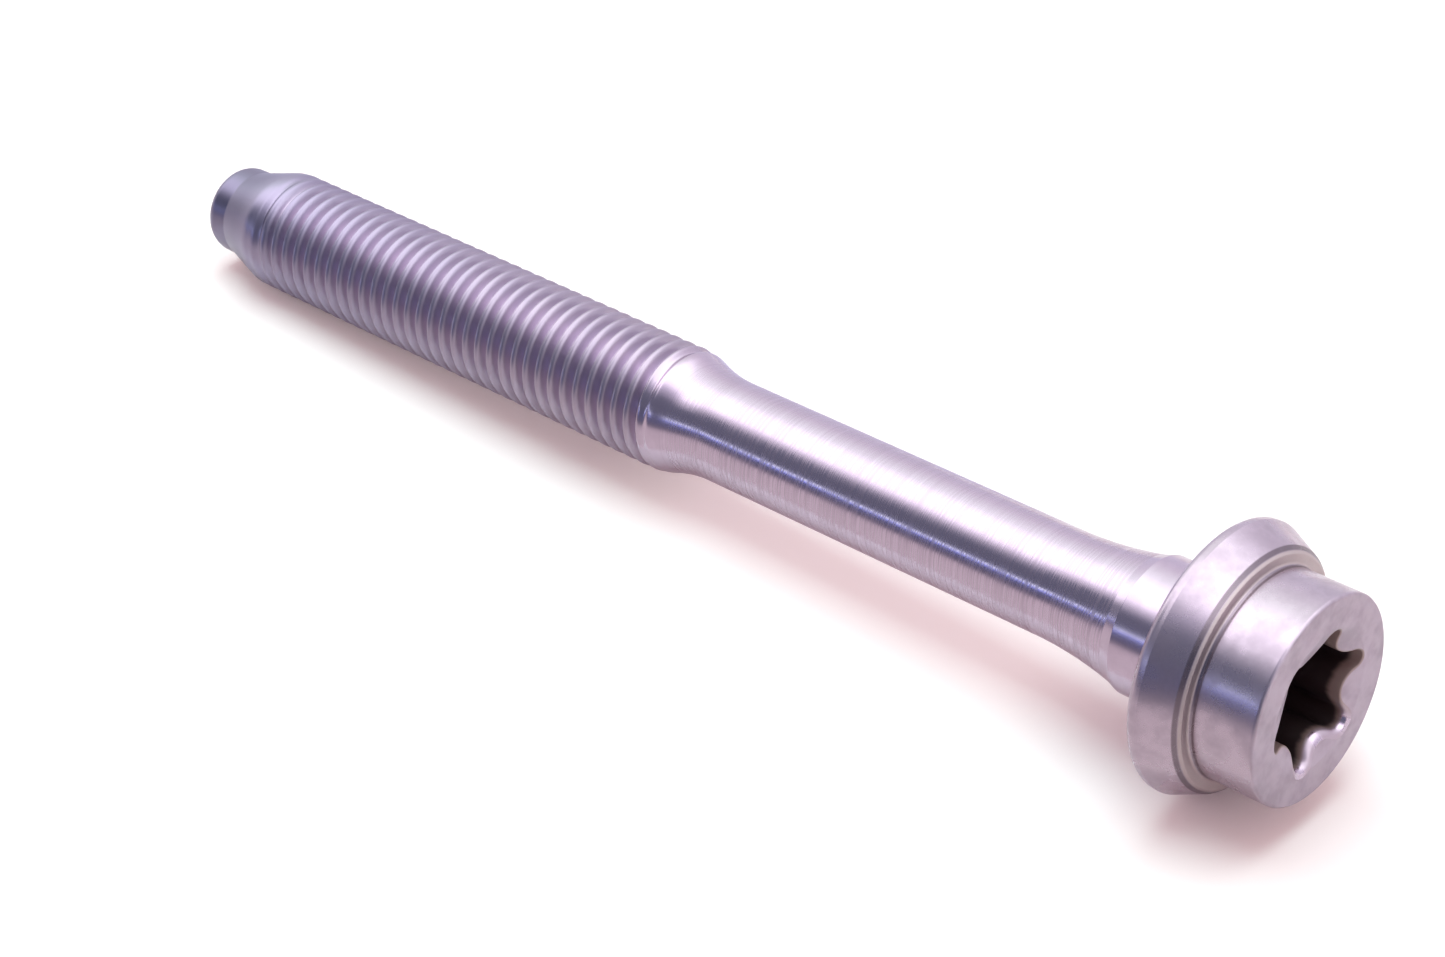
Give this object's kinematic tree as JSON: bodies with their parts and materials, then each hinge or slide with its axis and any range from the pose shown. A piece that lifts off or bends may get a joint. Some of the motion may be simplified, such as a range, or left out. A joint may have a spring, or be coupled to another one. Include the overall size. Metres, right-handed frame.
{
  "type": "cylinder head bolt",
  "caption": "Waisted stretch bolt with a flanged cylindrical head, a six-lobe socket, a centring collar and a rolled thread with a pilot tip.",
  "frame": {"origin": "centre of the head face, on the bolt's axis, where the bolt stands on its head", "axes": "+Z along the bolt's axis from the head face to the pilot tip; two of the socket's six lobes point along +Y and -Y"},
  "size_m": [0.022, 0.022, 0.1215],
  "materials": {
    "bright_steel": "bright satin, turned on the waist and rolled on the thread"
  },
  "bodies": {
    "root": {"bolt": "bright_steel"}
  },
  "joints": []
}
